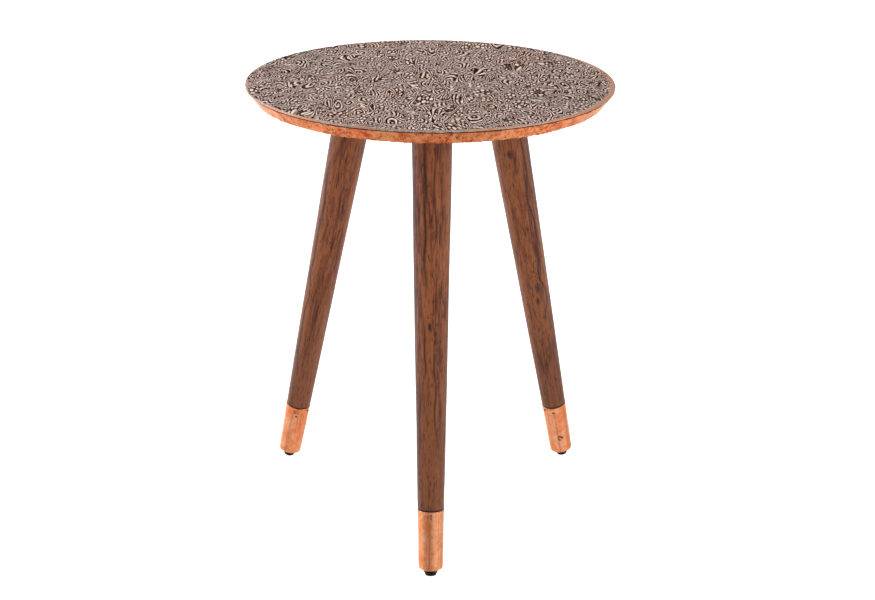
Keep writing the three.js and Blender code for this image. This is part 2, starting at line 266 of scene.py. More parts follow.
class Turned:
    """Points turned about Z. The outline's (radius, height) points run anticlockwise,
    from the axis at the bottom to the axis at the top, or round to where they started."""

    def __init__(self, outline, around):
        outline = np.asarray(outline, float)
        self.capped = outline[0, 0] < 1e-9
        self.ends = outline[[0, -1], 1]
        self.outline = outline[1:-1] if self.capped else outline
        self.around = around
        angle = np.arange(around) * TURN / around
        self.angle, self.radius = np.meshgrid(angle, self.outline[:, 0])
        self.height = np.repeat(self.outline[:, 1:], around, axis=1)

    def grid(self):
        """Where the points are, apart from those on the axis, in a row for each ring."""
        return polar(self.radius, self.angle, self.height)

    def points(self):
        rings = self.grid().reshape(-1, 3)
        return np.vstack([rings, [[0, 0, end] for end in self.ends]]) if self.capped else rings

    def faces(self):
        rows = len(self.outline)
        sides = tube_faces(rows, self.around, closed=not self.capped)
        if not self.capped:
            return sides
        count = rows * self.around
        ring = np.arange(self.around)
        return fan(count, ring[::-1]) + sides + fan(count + 1, ring + count - self.around)

    def flat(self, field):
        """A value for each of points(), from one for each of the grid's points."""
        return np.concatenate([field.ravel(), np.zeros(2)]) if self.capped else field.ravel()

    def away(self, direction):
        """How far round its own circle each point is from a direction in radians."""
        return wrapped(self.angle - direction) * self.radius

    def build(self, name, material, matrix=Matrix(), values=None, sharp=50):
        return make_mesh(name, place(self.points(), matrix), self.faces(), material, values, sharp)


def stretch(points, spacing):
    """The points of an outline, with more added so that none are further apart than spacing."""
    filled = [points[0]]
    for start, end in zip(points, points[1:]):
        steps = max(1, math.ceil(math.dist(start, end) / spacing))
        for step in range(1, steps + 1):
            share = step / steps
            filled.append(tuple(a + (b - a) * share for a, b in zip(start, end)))
    return filled


def arc(centre, radius, start, end, steps):
    """Points of an arc, with its angles in degrees."""
    angles = np.radians(np.linspace(start, end, steps + 1))
    return [(centre[0] + radius * math.cos(a), centre[1] + radius * math.sin(a)) for a in angles]


def soften(points, radius, steps=3):
    """An outline with each of its inner corners rounded off."""
    points = [np.array(point, float) for point in points]
    rounded = [points[0]]
    for before, corner, after in zip(points, points[1:], points[2:]):
        ends = []
        for neighbour in (before, after):
            length = np.linalg.norm(neighbour - corner)
            ends.append(corner + (neighbour - corner) * min(radius / length, 0.45))
        for t in np.linspace(0, 1, steps + 1):
            rounded.append(ends[0] * (1 - t) ** 2 + corner * 2 * t * (1 - t) + ends[1] * t ** 2)
    rounded.append(points[-1])
    return [tuple(point) for point in rounded]


# ---- shader helper

class Nodes:
    """Short calls for the nodes used here."""

    def __init__(self, tree):
        self.tree = tree

    def node(self, kind, inputs=None, **settings):
        node = self.tree.nodes.new(kind)
        for key, value in settings.items():
            setattr(node, key, value)
        for key, value in (inputs or {}).items():
            self.feed(node.inputs[key], value)
        return node

    def feed(self, socket, value):
        if isinstance(value, bpy.types.NodeSocket):
            self.tree.links.new(value, socket)
        else:
            socket.default_value = value

    def place(self):
        return self.node("ShaderNodeTexCoord").outputs["Object"]

    def stored(self, name, output="Fac"):
        return self.node("ShaderNodeAttribute", attribute_name=name).outputs[output]

    def scaled(self, vector, scale):
        node = self.node("ShaderNodeMapping", {"Vector": vector, "Scale": scale})
        return node.outputs["Vector"]

    def noise(self, vector, scale, detail=3.0, roughness=0.55, distortion=0.0):
        """Noise with one scale, or with a scale for each axis."""
        if isinstance(scale, tuple):
            vector, scale = self.scaled(vector, scale), 1.0
        inputs = {"Vector": vector, "Scale": scale, "Detail": detail,
                  "Roughness": roughness, "Distortion": distortion}
        return self.node("ShaderNodeTexNoise", inputs).outputs["Fac"]

    def maths(self, operation, a, b=0.0):
        return self.node("ShaderNodeMath", {0: a, 1: b}, operation=operation).outputs[0]

    def add(self, total, *others):
        for other in others:
            total = self.maths("ADD", total, other)
        return total

    def times(self, a, b):
        return self.maths("MULTIPLY", a, b)

    def vector_maths(self, operation, *vectors):
        inputs = dict(enumerate(vectors))
        return self.node("ShaderNodeVectorMath", inputs, operation=operation).outputs

    def remap(self, value, low, high, to_low=0.0, to_high=1.0):
        inputs = {"Value": value, "From Min": low, "From Max": high,
                  "To Min": to_low, "To Max": to_high}
        return self.node("ShaderNodeMapRange", inputs, interpolation_type="SMOOTHSTEP").outputs[0]

    def ramp(self, value, stops):
        node = self.node("ShaderNodeValToRGB", {"Fac": value})
        elements = node.color_ramp.elements
        while len(elements) < len(stops):
            elements.new(0.5)
        for element, (position, colour) in zip(elements, stops):
            element.position = position
            element.color = (*colour, 1)
        return node.outputs["Color"]

    def blend(self, factor, a, b, mode="MIX"):
        """Colour a, going over to b as factor goes from 0 to 1."""
        node = self.node("ShaderNodeMix", data_type="RGBA", blend_type=mode)
        for socket, value in zip((node.inputs[0], node.inputs[6], node.inputs[7]), (factor, a, b)):
            value = (*value, 1) if isinstance(value, tuple) else value
            self.feed(socket, value)
        return node.outputs[2]

    def bump(self, height, distance, strength, normal=None):
        inputs = {"Height": height, "Distance": distance, "Strength": strength}
        if normal is not None:
            inputs["Normal"] = normal
        return self.node("ShaderNodeBump", inputs).outputs["Normal"]


class Shader(Nodes):
    """A material with one Principled shader."""

    def __init__(self, name, **settings):
        self.material = bpy.data.materials.new(name)
        self.material.use_nodes = True
        super().__init__(self.material.node_tree)
        self.surface = next(n for n in self.tree.nodes if n.type == "BSDF_PRINCIPLED")
        for key, value in settings.items():
            self.surface.inputs[key.replace("_", " ")].default_value = value

    def finished(self, colour, roughness, normal):
        for key, value in (("Base Color", colour), ("Roughness", roughness), ("Normal", normal)):
            self.feed(self.surface.inputs[key], value)
        return self.material


# ---- materials

POLISH_AND_HIGHLIGHT = (1.0, 0.72, 0.54)
YELLOW_TARNISH = (0.66, 0.36, 0.10)
COPPER_SPECK = (0.10, 0.03, 0.015)
COPPER_GRIME_AND_SHADE = (0.07, 0.022, 0.012)
SHEET_TONES = [(0.0, (0.008, 0.003, 0.002)), (0.20, (0.018, 0.008, 0.006)),
               (0.40, (0.108, 0.069, 0.058)), (0.60, (0.215, 0.153, 0.133)),
               (0.88, (0.96, 0.84, 0.78))]       # from the grooves to the ridges
SHEET_PATCH = (0.90, 0.70, 0.62)
SHEET_RUBBED = (0.66, 0.36, 0.23)
HEARTWOOD = (0.028, 0.009, 0.005)
WOOD_PORE = (0.016, 0.006, 0.004)
PITH = (0.031, 0.012)            # metres from the middle of the tree to the leg's axis
RING_SPACING = 0.0061            # metres
ZINC_TONES = [(0.35, (0.50, 0.53, 0.58)), (0.65, (0.62, 0.60, 0.52))]
ZINC_DULL = (0.3, 0.3, 0.3)
NYLON_BLACK = (0.002, 0.002, 0.002)
NYLON_SCUFF = (0.025, 0.024, 0.023)
BOARD_TONES = [(0.3, (0.23, 0.135, 0.07)), (0.55, (0.40, 0.26, 0.145)),
               (0.75, (0.52, 0.36, 0.22))]
FLOOR_TONES = [(0.0, (0.78, 0.78, 0.78)), (1.0, (0.80, 0.80, 0.80))]
FINE_BUMP = 0.0001               # metres
BEATEN_BUMP = 0.0006


def copper_material(name, light, deep, dull, mottled, streaked=0.0):
    """Bright copper with mottled tints, dark specks and fine rubbing. The stored grime value runs
    from -1 where the copper is polished or carries a painted highlight, to 0 on open metal, and to 1
    in a crevice or under a painted shadow. Streaks run along Z of the stored "grain"."""
    shader = Shader(name, Metallic=1.0, Specular_Tint=(1.0, 0.85, 0.75, 1))
    middle = tuple((a + b) / 2 for a, b in zip(light, deep))
    where = shader.stored("grain", "Vector") if streaked else shader.place()
    patches = shader.noise(where, 48, 5, 0.65, 0.8)
    fine = shader.noise(where, 420, 4, 0.7)
    tint = shader.ramp(patches, [(0.38, deep), (0.5, middle), (0.62, light)])
    mottle = shader.noise(where, 190, 5, 0.7, 0.8)
    tint = shader.blend(shader.remap(mottle, 0.50, 0.60, 0, mottled), tint, dull)
    tint = shader.blend(shader.remap(mottle, 0.48, 0.40, 0, mottled), tint, light)
    if streaked:
        drawn = shader.noise(where, (420, 420, 9), 4, 0.6)
        tint = shader.blend(shader.remap(drawn, 0.50, 0.64, 0, streaked), tint, dull)
        tarnish = shader.noise(where, (70, 70, 16), 4, 0.6, 0.5)
        tint = shader.blend(shader.remap(tarnish, 0.58, 0.68, 0, 0.35), tint, YELLOW_TARNISH)
    specks = shader.remap(shader.noise(where, 900, 2, 0.5), 0.63, 0.70)
    sparse = shader.remap(shader.noise(where, 70, 2), 0.48, 0.62)
    tint = shader.blend(shader.times(specks, sparse), tint, COPPER_SPECK)
    # Above zero the stored value darkens the copper towards the grime colour, for dirt in crevices and
    # for painted shade. Below zero it brightens the copper towards the polished colour, for polish and
    # for painted highlights.
    ragged = shader.add(shader.stored("grime_and_shading"), shader.remap(fine, 0.3, 0.7, -0.2, 0.2))
    grime_and_shading = shader.remap(ragged, 0.25, 0.85)
    tint = shader.blend(shader.remap(ragged, -0.25, -0.75), tint, POLISH_AND_HIGHLIGHT)
    rough = shader.remap(shader.noise(where, 130, 5, 0.65), 0.3, 0.7, 0.24, 0.38)
    beaten = shader.bump(shader.noise(where, 160, 3, 0.5), BEATEN_BUMP, 0.35)
    return shader.finished(shader.blend(grime_and_shading, tint, COPPER_GRIME_AND_SHADE),
                           shader.add(rough, shader.times(grime_and_shading, 0.3)),
                           shader.bump(fine, FINE_BUMP, 0.4, beaten))


def sheet_material():
    """Antiqued copper: black in the chased grooves, grey-brown on the ground, pale on the
    ridges. The stored "relief" runs from -1 to 1, and "worn" is 1 where copper shows bright."""
    shader = Shader("embossed_copper", Metallic=1.0, Specular_Tint=(0.60, 0.44, 0.38, 1))
    where = shader.place()
    fine = shader.noise(where, 750, 4, 0.7)
    patches = shader.noise(where, 14, 4, 0.6, 0.4)
    level = shader.add(shader.stored("relief"), shader.remap(fine, 0.25, 0.75, -0.22, 0.22))
    level = shader.remap(level, -1.0, 1.0)
    tone = shader.ramp(level, SHEET_TONES)
    tone = shader.blend(shader.remap(patches, 0.48, 0.7, 0, 0.35), tone, SHEET_PATCH, "MULTIPLY")
    rubbed = shader.add(shader.stored("worn"), shader.remap(fine, 0.3, 0.7, -0.2, 0.2))
    rubbed = shader.remap(rubbed, 0.3, 0.9)
    return shader.finished(shader.blend(rubbed, tone, SHEET_RUBBED),
                           shader.remap(level, 0, 1, 0.60, 0.42),
                           shader.bump(fine, 1.2 * FINE_BUMP, 0.5))


def wood_material(name, dark, middle, light, streak_and_shade):
    """Oiled hardwood with the grain along Z of the stored "grain" coordinates: growth rings
    round a pith off to one side, long dark streaks, fine fibres and open pores."""
    shader = Shader(name, Specular_IOR_Level=0.35)
    grain = shader.stored("grain", "Vector")
    knot = shader.stored("knot")
    drift = shader.noise(grain, (16, 16, 4), 3, 0.5)
    axes = shader.node("ShaderNodeSeparateXYZ", {"Vector": grain}).outputs
    from_pith = [shader.add(axis, offset) for axis, offset in zip(axes, PITH)]
    ring = shader.maths("SQRT", shader.add(*(shader.maths("POWER", a, 2.0) for a in from_pith)))
    ring = shader.add(ring, shader.times(drift, 0.040), shader.times(knot, 0.030))
    rings = shader.maths("SINE", shader.times(ring, TURN / RING_SPACING))
    broad = shader.noise(grain, (75, 75, 6), 5, 0.6, 0.4)
    mottle = shader.noise(grain, (210, 210, 38), 5, 0.65, 0.5)
    fibre = shader.noise(grain, (1000, 1000, 30), 3, 0.65)
    fibrous = shader.remap(fibre, 0.2, 0.8, -0.15, 0.15)
    pores = shader.noise(grain, (900, 900, 120), 2, 0.5)
    body = shader.add(shader.remap(rings, -1, 1, -0.045, 0.045), broad,
                      shader.remap(mottle, 0.25, 0.75, -0.16, 0.16), fibrous,
                      shader.remap(ring, 0.034, 0.048, -0.03, 0.22))
    tone = shader.ramp(body, [(0.32, dark), (0.52, middle), (0.78, light)])
    streaks = shader.noise(grain, (170, 170, 3.4), 5, 0.7, 0.3)
    tone = shader.blend(shader.remap(streaks, 0.58, 0.70, 0, 0.35), tone, streak_and_shade)
    # The stored vein value darkens towards the streak colour: dark veins, the dark line at the ferrule,
    # and painted shade towards the foot.
    veined_and_shaded = shader.times(shader.stored("vein_and_shade"), shader.remap(mottle, 0.3, 0.55, 0.35, 1.0))
    tone = shader.blend(veined_and_shaded, tone, streak_and_shade)
    tone = shader.blend(shader.remap(shader.add(knot, fibrous), 0.7, 1.05), tone, HEARTWOOD)
    open_pores = shader.remap(pores, 0.58, 0.65)
    tone = shader.blend(shader.times(open_pores, 0.7), tone, WOOD_PORE)
    height = shader.maths("SUBTRACT", fibre, shader.times(open_pores, 0.9))
    return shader.finished(tone, shader.remap(fibre, 0.2, 0.8, 0.36, 0.50),
                           shader.bump(height, 2.5 * FINE_BUMP, 0.45))


def steel_material():
    """Zinc plating: fine brushing, a faint blue and yellow cast, and small dull spots."""
    shader = Shader("zinc_steel", Metallic=1.0)
    where = shader.place()
    tone = shader.ramp(shader.noise(where, 45, 3), ZINC_TONES)
    brushing = shader.noise(shader.scaled(where, (1, 14, 1)), 260, 4, 0.7)
    return shader.finished(shader.blend(shader.remap(brushing, 0.5, 0.8, 0, 0.5), tone, ZINC_DULL),
                           shader.remap(brushing, 0.3, 0.7, 0.25, 0.42),
                           shader.bump(brushing, 0.8 * FINE_BUMP, 0.4))


def glide_material():
    """Moulded black nylon with a faint grain and grey scuffs."""
    shader = Shader("black_nylon", Specular_IOR_Level=0.12)
    where = shader.place()
    grain = shader.noise(where, 1500, 3, 0.6)
    scuffs = shader.noise(where, 300, 5, 0.75, 0.5)
    scuffed = shader.remap(scuffs, 0.6, 0.75, 0, 0.5)
    return shader.finished(shader.blend(scuffed, NYLON_BLACK, NYLON_SCUFF),
                           shader.remap(scuffs, 0.3, 0.7, 0.32, 0.55),
                           shader.bump(grain, 0.8 * FINE_BUMP, 0.4))


def board_material():
    """The raw underside of the board: pale wood, sanded, with soft grain along X."""
    shader = Shader("raw_board", Specular_IOR_Level=0.3)
    where = shader.place()
    broad = shader.noise(where, (3, 40, 40), 4, 0.6, 0.6)
    fibre = shader.noise(where, (40, 900, 900), 3, 0.6)
    body = shader.add(broad, shader.remap(fibre, 0.2, 0.8, -0.18, 0.18))
    return shader.finished(shader.ramp(body, BOARD_TONES),
                           shader.remap(fibre, 0.2, 0.8, 0.65, 0.85),
                           shader.bump(fibre, 2 * FINE_BUMP, 0.5))


def floor_material():
    """A white floor that glows, so that no shadow shows on it."""
    shader = Shader("studio_floor", Roughness=0.9, Specular_IOR_Level=0.1, Emission_Strength=1.0,
                    Emission_Color=(1, 1, 1, 1))
    haze = shader.noise(shader.place(), 3, 2)
    shader.feed(shader.surface.inputs["Base Color"], shader.ramp(haze, FLOOR_TONES))
    return shader.material


SHEET_COPPER = sheet_material()
BAND_COPPER = copper_material("band_copper", light=(1.0, 0.39, 0.165), deep=(0.76, 0.140, 0.042),
                              dull=(0.24, 0.036, 0.013), mottled=0.7)
FERRULE_COPPER = copper_material("ferrule_copper", light=(0.90, 0.455, 0.255),
                                 deep=(0.86, 0.255, 0.100), dull=(0.56, 0.13, 0.045),
                                 mottled=0.3, streaked=0.6)
PIN_COPPER = copper_material("pin_copper", light=(0.42, 0.17, 0.08), deep=(0.22, 0.07, 0.03),
                             dull=(0.10, 0.04, 0.02), mottled=0.5)
WALNUT = wood_material("oiled_walnut", dark=(0.056, 0.010, 0.003), middle=(0.150, 0.031, 0.008),
                       light=(0.385, 0.115, 0.035), streak_and_shade=(0.026, 0.006, 0.002))
STEEL = steel_material()
NYLON = glide_material()
BOARD = board_material()


# ---- the embossed sheet

def disc_grid(radius, pitch):
    """A square grid drawn onto a disc so that its cells keep one area."""
    count = 2 * round(radius * math.sqrt(math.pi) / pitch / 2) + 1
    u, v = np.meshgrid(np.linspace(-1, 1, count), np.linspace(-1, 1, count), indexing="ij")
    wide = np.abs(u) > np.abs(v)
    reach = np.where(wide, u, v)
    safe = np.where(reach == 0, 1, reach)
    angle = np.where(wide, math.pi / 4 * v / safe, math.pi / 2 - math.pi / 4 * u / safe)
    return reach * radius * np.cos(angle), reach * radius * np.sin(angle)


def nearest_motif(x, y, size, rng):
    """Which motif each point belongs to, the point's place from that motif's middle, and
    how far it is from the next motif. Motifs sit on a square lattice, well shaken."""
    cells = math.ceil(2.6 * TOP_RADIUS / size) + 4      # across, with some to spare
    shake = rng.uniform(-MOTIF_SHAKE, MOTIF_SHAKE, (cells, cells, 2))
    column = np.floor(x / size).astype(int) + cells // 2
    row = np.floor(y / size).astype(int) + cells // 2
    best = np.full(x.shape, np.inf)
    second = np.full(x.shape, np.inf)
    across, along, motif = np.zeros(x.shape), np.zeros(x.shape), np.zeros(x.shape, int)
    for i in (-1, 0, 1):
        for j in (-1, 0, 1):
            a, b = column + i, row + j
            dx = x - (a - cells // 2 + 0.5 + shake[a, b, 0]) * size
            dy = y - (b - cells // 2 + 0.5 + shake[a, b, 1]) * size
            distance = np.hypot(dx, dy)
            closer = distance < best
            second = np.where(closer, best, np.minimum(second, distance))
            best = np.where(closer, distance, best)
            across, along = np.where(closer, dx, across), np.where(closer, dy, along)
            motif = np.where(closer, a * cells + b, motif)
    return motif, across, along, second - best, cells * cells


def strokes(phase):
    """Narrow grooves and rounded ridges on a level ground, one of each a stroke."""
    wave = np.cos(TURN * phase)
    return ease(wave, -0.05, 0.75) - ease(-wave, 0.20, 0.75)


def chased_pattern(x, y):
    """Height of the chasing from -1 to 1: shells, leaves, eyes, scrolls and pebbled beds,
    each outlined by a ridge between two grooves."""
    rng = np.random.default_rng(11)
    points = np.stack([x, y / PATTERN_STRETCH], axis=-1)
    warped = [points[..., i] + PATTERN_WARP * smooth_noise(points, WARP_LENGTH, i + 1)
              for i in range(2)]
    motif, dx, dy, to_border, count = nearest_motif(*warped, MOTIF_SIZE, rng)
    turn = rng.uniform(0, TURN, count)[motif]
    u = dx * np.cos(turn) + dy * np.sin(turn)
    v = dy * np.cos(turn) - dx * np.sin(turn)
    pitch = (STROKE_PITCH * rng.uniform(1, 1.25, count))[motif]
    bend = rng.uniform(-0.02, 0.02, count)[motif] / MM
    spine = np.abs(v - bend * u * u)
    mark, _, _, seams, marks = nearest_motif(*warped, PEBBLE_SIZE, rng)
    jog = rng.uniform(-0.22, 0.22, marks)[mark]
    shell = strokes(np.hypot(u + 0.5 * MOTIF_SIZE, v) / pitch + jog)
    leaf = np.where(spine < 0.7 * MM, -1, strokes((u - 1.2 * spine) / pitch + jog))
    feather = np.where(spine < 0.9 * MM, 1, strokes((0.7 * u + spine) / pitch + jog))
    eye = strokes(np.hypot(u, v * 1.4) / pitch)
    scroll = strokes(np.hypot(u, v) / pitch + np.arctan2(v, u) / TURN)
    waves = strokes((v + 1.6 * MM * np.sin(TURN * u / (9 * MM))) / pitch + jog)
    pebbles = ease(seams, 1.0 * MM, 2.1 * MM) - 1 + ease(seams, 0.5 * MM, 1.0 * MM)
    kinds = [shell, pebbles, leaf, pebbles, eye, pebbles, feather, pebbles, shell, scroll,
             pebbles, waves, pebbles]
    kind = rng.integers(0, len(kinds), count)[motif]
    inside = np.choose(kind, kinds) * ease(seams, 0.1 * MM, 0.7 * MM)
    outline = (ease(to_border, 0.2 * MM, 0.7 * MM) + ease(to_border, 0.7 * MM, 1.2 * MM)
               - ease(to_border, 1.7 * MM, 2.2 * MM) - ease(to_border, 2.2 * MM, 2.6 * MM)
               + ease(to_border, 2.9 * MM, 3.3 * MM) - 1)
    height = np.where(to_border < 3.3 * MM, outline, inside)
    chatter = 0.22 * smooth_noise(points, 2.6 * MM, 4)
    return np.clip(height + chatter, -1, 1)


def sheet_piece():
    """The embossed face, then the lip turned down round it, then the flat back."""
    x, y = disc_grid(TOP_RADIUS - LIP_ROUNDING, SHEET_PITCH)
    index = np.arange(x.size).reshape(x.shape)
    x, y = x.ravel(), y.ravel()
    radius = np.hypot(x, y)
    angle = np.arctan2(y, x)
    rim = np.stack([np.cos(angle), np.sin(angle)], axis=-1)
    at_right = ease(rim[:, 0], 0.55, 0.95)
    margin = PLAIN_MARGIN + MARGIN_SWAY * smooth_noise(rim, 0.3, 5) + WIDER_MARGIN * at_right
    open_field = 1 - ease(radius, TOP_RADIUS - margin - MARGIN_EDGE, TOP_RADIUS - margin)
    relief = chased_pattern(x, y) * open_field + 0.3 * (1 - open_field)
    depth = np.where(relief > 0, RIDGE_HEIGHT, GROOVE_DEPTH)
    sag = 0.06 * MM * smooth_noise(np.stack([x, y], axis=-1), 70 * MM, 6)
    z = TOP_HEIGHT + (relief * depth + sag) * open_field
    rubbed = 0.45 + 0.35 * ease(rim[:, 0], 0.1, 0.9) + 0.25 * smooth_noise(rim, 0.3, 7)
    worn = np.clip(rubbed, 0.1, 1) * ease(radius, TOP_RADIUS - 1.6 * MM, TOP_RADIUS - 0.8 * MM)
    near_rim = ease(radius, TOP_RADIUS - RUBBED_WIDTH, TOP_RADIUS - 0.4 * RUBBED_WIDTH)
    worn = np.maximum(worn, 0.55 * near_rim * at_right)

    border = np.concatenate([index[:-1, 0], index[-1, :-1], index[:0:-1, -1], index[0, :0:-1]])
    outline = arc((TOP_RADIUS - LIP_ROUNDING, TOP_HEIGHT - LIP_ROUNDING), LIP_ROUNDING, 90, 0, 4)[1:]
    lip = [(TOP_RADIUS, TOP_HEIGHT - LIP_ROUNDING), (TOP_RADIUS, LIP_BOTTOM),
           (TOP_RADIUS - COPPER, LIP_BOTTOM), (TOP_RADIUS - COPPER, TOP_HEIGHT - COPPER)]
    outline += soften(lip, 0.15 * MM)[1:]
    around = rim[border]
    wavy = 0.12 * MM * smooth_noise(around, 0.06, 8) + 0.08 * MM * smooth_noise(around, 0.02, 9)
    rings = []
    for ring_radius, height in outline:
        lowered = (TOP_HEIGHT - height) / (TOP_HEIGHT - LIP_BOTTOM)
        across = around * (ring_radius + wavy[:, None] * lowered)
        rings.append(np.column_stack([across, height + wavy * lowered]))
    vertices = np.vstack([np.column_stack([x, y, z]), *rings, [[0, 0, TOP_HEIGHT - COPPER]]])

    face = np.stack([index[:-1, :-1], index[1:, :-1], index[1:, 1:], index[:-1, 1:]], axis=-1)
    faces = face.reshape(-1, 4).tolist()
    upper = border
    for ring in range(len(outline)):
        lower = np.arange(len(border)) + len(x) + ring * len(border)
        faces += between(lower, upper)
        upper = lower
    back = zip(upper.tolist(), np.roll(upper, -1).tolist())
    faces += [[len(vertices) - 1, b, a] for a, b in back]
    level = np.full(len(vertices) - len(x), 0.3)
    values = {"relief": np.concatenate([relief, level]),
              "worn": np.concatenate([worn, np.tile(worn[border], len(outline)), [0]])}
    return make_mesh("embossed_sheet", vertices, faces, SHEET_COPPER, values)


# ---- the edge band

def band_outline():
    across = COPPER / math.cos(BAND_LEAN)
    slope = math.tan(BAND_LEAN)
    outer = [(HEM_INNER_RADIUS, HEM_BOTTOM), (RIM_BOTTOM_RADIUS, HEM_BOTTOM),
             (COLLAR_RADIUS, COLLAR_BOTTOM), (COLLAR_RADIUS, BAND_HIGH.z)]
    inner = [(COLLAR_RADIUS - COPPER, BAND_HIGH.z),
             (COLLAR_RADIUS - COPPER, COLLAR_BOTTOM + (across - COPPER) / slope),
             (RIM_BOTTOM_RADIUS - across + COPPER * slope, HEM_BOTTOM + COPPER),
             (HEM_INNER_RADIUS, HEM_BOTTOM + COPPER)]
    return stretch(soften(outer, HEM_FOLD, 4), 0.75 * MM), inner


def band_piece():
    """The band, with dents, a lapped seam, and a hem crimped and nicked by hand. The push is
    how far the metal stands out, in mm, and the grime, with a painted shadow under the lip, is what
    copper_material reads."""
    outer, inner = band_outline()
    band = Turned(outer + inner, AROUND["band"])
    rng = np.random.default_rng(23)
    where = band.grid()
    outside = np.arange(len(band.outline))[:, None] < len(outer)
    push = 0.16 * smooth_noise(where, 34 * MM, 1) + 0.07 * smooth_noise(where, 9 * MM, 2)
    push += 0.03 * smooth_noise(where, 3.5 * MM, 3)
    for _ in range(DENTS):
        spot = rng.uniform(0, TURN)
        height = rng.uniform(HEM_BOTTOM, COLLAR_BOTTOM)
        size = rng.uniform(1.2, 4.0) * MM
        distance = np.hypot(band.away(spot), (band.height - height) * 1.2)
        push -= rng.uniform(0.08, 0.30) * bell(distance, size)

    # The hem: pleats where the metal was gathered in, and nicks in the fold.
    near_fold = np.exp(-np.maximum(0, band.height - HEM_BOTTOM) / (2.2 * MM))
    ring = polar(RIM_BOTTOM_RADIUS, band.angle)[..., :2]
    push += near_fold * (0.14 * smooth_noise(ring, 9 * MM, 4) + 0.07 * smooth_noise(ring, 3 * MM, 5))
    grime_and_shading = 0.35 * near_fold * ease(smooth_noise(ring, 9 * MM, 6), 0.2, 1.2)
    for direction, depth in HEM_NICKS:
        cut = bell(band.away(math.radians(direction)), 0.9 * MM) * near_fold
        push -= depth * cut
        grime_and_shading = np.maximum(grime_and_shading, 0.9 * cut)

    # The seam: one end laps over the other along a slanting edge.
    share = (band.height - HEM_BOTTOM) / (COLLAR_BOTTOM - HEM_BOTTOM)
    start, slant = SEAM_SLANT
    past = band.away(math.radians(SEAM_DIRECTION + start) + math.radians(slant) * share)
    crease = bell(past, 0.55 * MM)
    push += 0.34 * ease(past, -0.25 * MM, 0.25 * MM) * (1 - ease(past, 4 * MM, 18 * MM))
    push -= 0.28 * crease
    grime_and_shading = np.maximum(grime_and_shading, 0.95 * crease * ease(share, -0.3, 0.25))

    # The fold is polished towards +X, and a painted shadow runs as a dark line under the lip.
    fold = bell(band.height - HEM_BOTTOM - 0.6 * MM, 1.2 * MM)
    grime_and_shading = grime_and_shading - 0.9 * fold * ease(np.cos(band.angle), 0.35, 0.8)
    # painted shadow: the band is darkened in a line just under the lip
    under_lip_shadow = ease(band.height, COLLAR_BOTTOM - 2.0 * MM, COLLAR_BOTTOM - 0.6 * MM)
    grime_and_shading = np.maximum(grime_and_shading, under_lip_shadow) * outside
    free = 1 - ease(band.height, COLLAR_BOTTOM - 1 * MM, COLLAR_BOTTOM + 1 * MM)
    push = push * (outside * free) * MM
    band.radius = band.radius + push * math.cos(BAND_LEAN)
    band.height = band.height - push * math.sin(BAND_LEAN)
    band.height = np.maximum(band.height, HEM_BOTTOM - 0.35 * MM)
    return band.build("copper_edge_band", BAND_COPPER, values={"grime_and_shading": band.flat(grime_and_shading)}, sharp=None)


# ---- fasteners

def threaded(turned, bottom, top, crest, depth, pitch):
    """Cuts a right-hand thread between two heights where the outline is near the crest."""
    phase = np.remainder(turned.height / pitch - turned.angle / TURN, 1)
    tooth = 1 - np.abs(phase - 0.5) * 2
    tooth = np.clip(1.25 * tooth - 0.08, 0, 1)
    share = ease(turned.height, bottom, bottom + pitch) * (1 - ease(turned.height, top - pitch, top))
    on_shank = turned.radius > 0.3 * crest
    turned.radius = turned.radius - depth * (1 - tooth) * share * on_shank * turned.radius / crest


def nail_piece(name, matrix, size, material, seed):
    """A nail that points up, with its head's underside at zero and a hammered dome below."""
    head, height, shank, reach = size
    dome = [(head * math.sin(a), -height * (0.35 + 0.65 * math.cos(a)))
            for a in np.linspace(0, TURN / 4, 7)]
    outline = dome + [(head, -0.08 * height), (0.96 * head, 0), (shank, 0),
                      (shank, reach - 2 * shank), (0, reach)]
    nail = Turned(outline, AROUND["nail"])
    where = polar(1, nail.angle, nail.height / head)
    on_head = nail.height < -0.01 * height
    nail.radius = nail.radius * (1 + 0.05 * smooth_noise(where, 1.6, seed, 10) * on_head)
    flats = smooth_noise(nail.radius[..., None] / head * where[..., :2], 1.1, seed + 1, 10)
    nail.height = nail.height + 0.09 * height * flats * on_head
    return nail.build(name, material, matrix)


def screw_piece(name, matrix, turned_by):
    """A pan-head wood screw that points up, with a cross recess in its head."""
    head, height, shank, reach = SCREW
    face = [(radius, -height + 0.35 * MM * (radius / head) ** 2)
            for radius in np.linspace(0, 0.72 * head, 15)]
    rounding = 0.34 * head
    outline = face + arc((head - rounding, rounding - 0.93 * height), rounding, -65, 0, 6)
    outline += [(head, 0), (shank, 0)]
    outline += stretch([(shank, 0), (shank, reach - 2 * shank), (0, reach)], 0.2 * MM)[1:]
    screw = Turned(outline, AROUND["screw"])
    facing = screw.angle + math.radians(turned_by)
    across = screw.radius * np.abs(np.cos(facing))
    along = screw.radius * np.abs(np.sin(facing))
    narrow, wide = np.minimum(across, along), np.maximum(across, along)
    slot = (1 - ease(narrow, 0.35 * MM, 0.62 * MM)) * (1 - ease(wide, 1.7 * MM, 2.2 * MM))
    depth = 1.5 * MM * (1 - wide / (3.2 * MM))
    screw.height = screw.height + slot * depth * (screw.height < -0.8 * height)
    threaded(screw, 0.6 * MM, reach - 0.5 * MM, shank, *SCREW_THREAD)
    return screw.build(name, STEEL, matrix, sharp=40)


